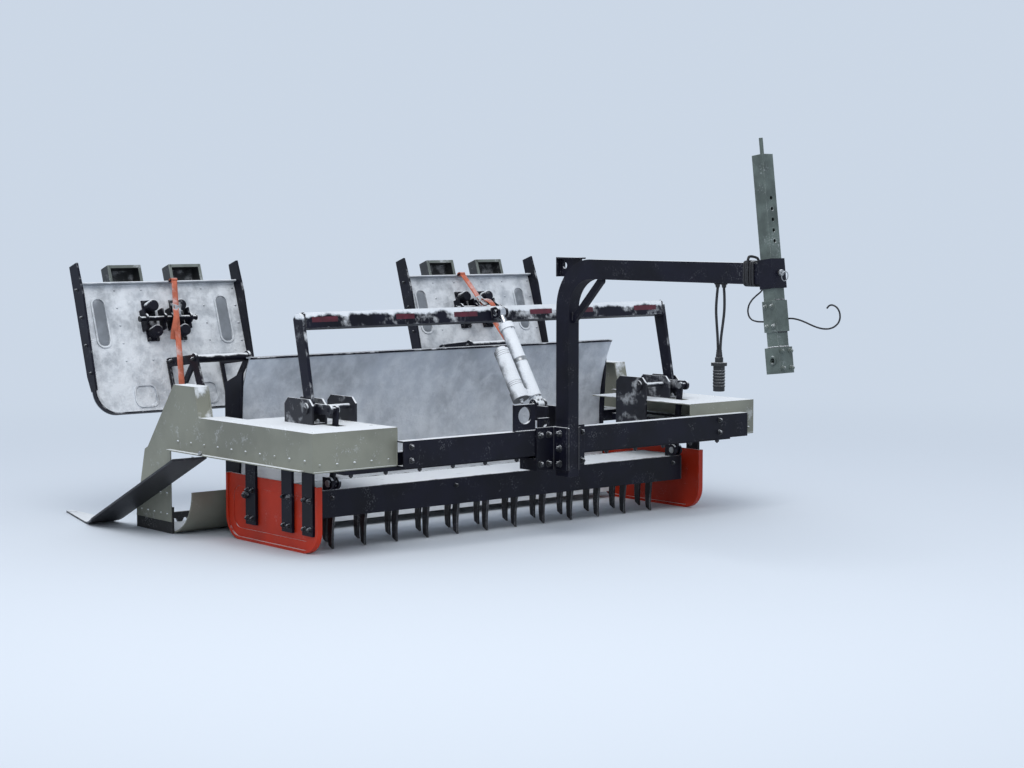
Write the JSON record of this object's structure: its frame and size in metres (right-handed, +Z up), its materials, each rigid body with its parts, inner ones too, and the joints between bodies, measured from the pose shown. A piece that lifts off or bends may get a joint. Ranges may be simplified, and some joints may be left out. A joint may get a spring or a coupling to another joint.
{
  "type": "towed ski-trail groomer",
  "caption": "Towed snow-trail groomer with rows of knives on a lifting bed, a curved blade, a finishing pan, folding track-setter trays and a gooseneck hitch.",
  "frame": {"origin": "on the ground below the middle of the machine, midway between its rear tips and the coupler's front", "axes": "+X forward in the direction of travel, +Y to the machine's left, +Z up"},
  "size_m": [3.351, 2.61, 1.549],
  "materials": {
    "black_paint": "semi-gloss black paint with frost on upper faces",
    "zinc_sheet": "dull galvanised sheet",
    "tray_sheet": "scuffed pale sheet, frosted",
    "mould_sheet": "dull galvanised troughs",
    "orange_paint": "worn orange-red paint",
    "mast_zinc": "grey-green galvanised tube",
    "knife_steel": "black steel worn at the tips",
    "skirt_rubber": "matt black rubber",
    "actuator_tube": "grey painted tube",
    "motor_case": "dark motor case",
    "rod_steel": "bright rod",
    "strap_webbing": "orange-red webbing",
    "cable_sheath": "black cable sheath",
    "plug_plastic": "black plug"
  },
  "bodies": {
    "frame": {"front_tube": "black_paint", "front_bar": "black_paint", "cross_beam": "black_paint", "side_rails": "black_paint", "rear_tube": "black_paint", "side_panel_right": "zinc_sheet", "side_panel_left": "zinc_sheet", "tail_skirts": "skirt_rubber", "side_wings": "black_paint", "skids": "orange_paint", "skid_brackets": "black_paint", "blade": "black_paint", "blade_ribs": "black_paint", "finishing_pan": "zinc_sheet", "comb": "knife_steel", "neck": "black_paint", "neck_brace": "black_paint", "neck_base": "black_paint", "neck_tab": "black_paint", "hitch_sleeve": "black_paint", "tow_lug": "black_paint", "actuator_foot": "black_paint", "pivot_brackets": "black_paint", "tray_hinge_ears": "black_paint", "control_lead_rear": "cable_sheath", "control_lead_front": "cable_sheath", "lead_plug": "plug_plastic", "tail_wire": "cable_sheath"},
    "hitch_mast": {"hitch_mast": "mast_zinc", "hitch_coupler": "mast_zinc"},
    "lift_hoop": {"hoop": "black_paint", "hoop_cranks": "black_paint", "hoop_clevis": "black_paint"},
    "drop_links": {"drop_links": "black_paint"},
    "actuator_barrel": {"actuator_barrel": "actuator_tube", "actuator_motor": "motor_case"},
    "actuator_rod": {"actuator_rod": "rod_steel"},
    "knife_bed": {"knife_bed": "black_paint", "bed_arms": "black_paint", "front_knives": "knife_steel", "rear_knives": "knife_steel"},
    "tray_right": {"tray_right": "tray_sheet", "tray_rails_right": "black_paint", "moulds_right": "mould_sheet", "tray_arms_right": "black_paint", "tray_mount_right": "black_paint", "strap_right": "strap_webbing"},
    "tray_left": {"tray_left": "tray_sheet", "tray_rails_left": "black_paint", "moulds_left": "mould_sheet", "tray_arms_left": "black_paint", "tray_mount_left": "black_paint", "strap_left": "strap_webbing"}
  },
  "joints": [
    {"name": "mast_slide", "type": "slide", "parent": "frame", "child": "hitch_mast", "axis": [-0.1271, 0, 0.9919], "range_m": [-0.266, 0]},
    {"name": "hoop_tilt", "type": "hinge", "parent": "frame", "child": "lift_hoop", "pos_m": [-0.02, 0, 0.545], "axis": [0, -1, 0], "range_deg": [0, 33]},
    {"name": "link_swing", "type": "hinge", "parent": "lift_hoop", "child": "drop_links", "pos_m": [0.09, 0, 0.545], "axis": [0, -1, 0], "range_deg": [-32.6, 0]},
    {"name": "bed_lift", "type": "hinge", "parent": "frame", "child": "knife_bed", "pos_m": [-0.36, 0, 0.185], "axis": [0, -1, 0], "range_deg": [0, 8.3]},
    {"name": "actuator_swing", "type": "hinge", "parent": "frame", "child": "actuator_barrel", "pos_m": [0.205, 0, 0.52], "axis": [0, -1, 0], "range_deg": [0, 21.2]},
    {"name": "rod_slide", "type": "slide", "parent": "actuator_barrel", "child": "actuator_rod", "axis": [-0.5517, 0, 0.834], "range_m": [0, 0.0825]},
    {"name": "tray_fold_right", "type": "hinge", "parent": "frame", "child": "tray_right", "pos_m": [-0.841, -0.85, 0.322], "axis": [0, -1, 0], "range_deg": [0, 71.5]},
    {"name": "tray_fold_left", "type": "hinge", "parent": "frame", "child": "tray_left", "pos_m": [-0.841, 0.85, 0.322], "axis": [0, -1, 0], "range_deg": [0, 71.5]}
  ],
  "couplings": [
    {"joint": "link_swing", "follows": "hoop_tilt", "ratio": -0.98645},
    {"joint": "bed_lift", "follows": "hoop_tilt", "ratio": 0.2498},
    {"joint": "actuator_swing", "follows": "hoop_tilt", "ratio": 0.63943},
    {"joint": "rod_slide", "follows": "hoop_tilt", "m_per_rad": 0.14316}
  ]
}
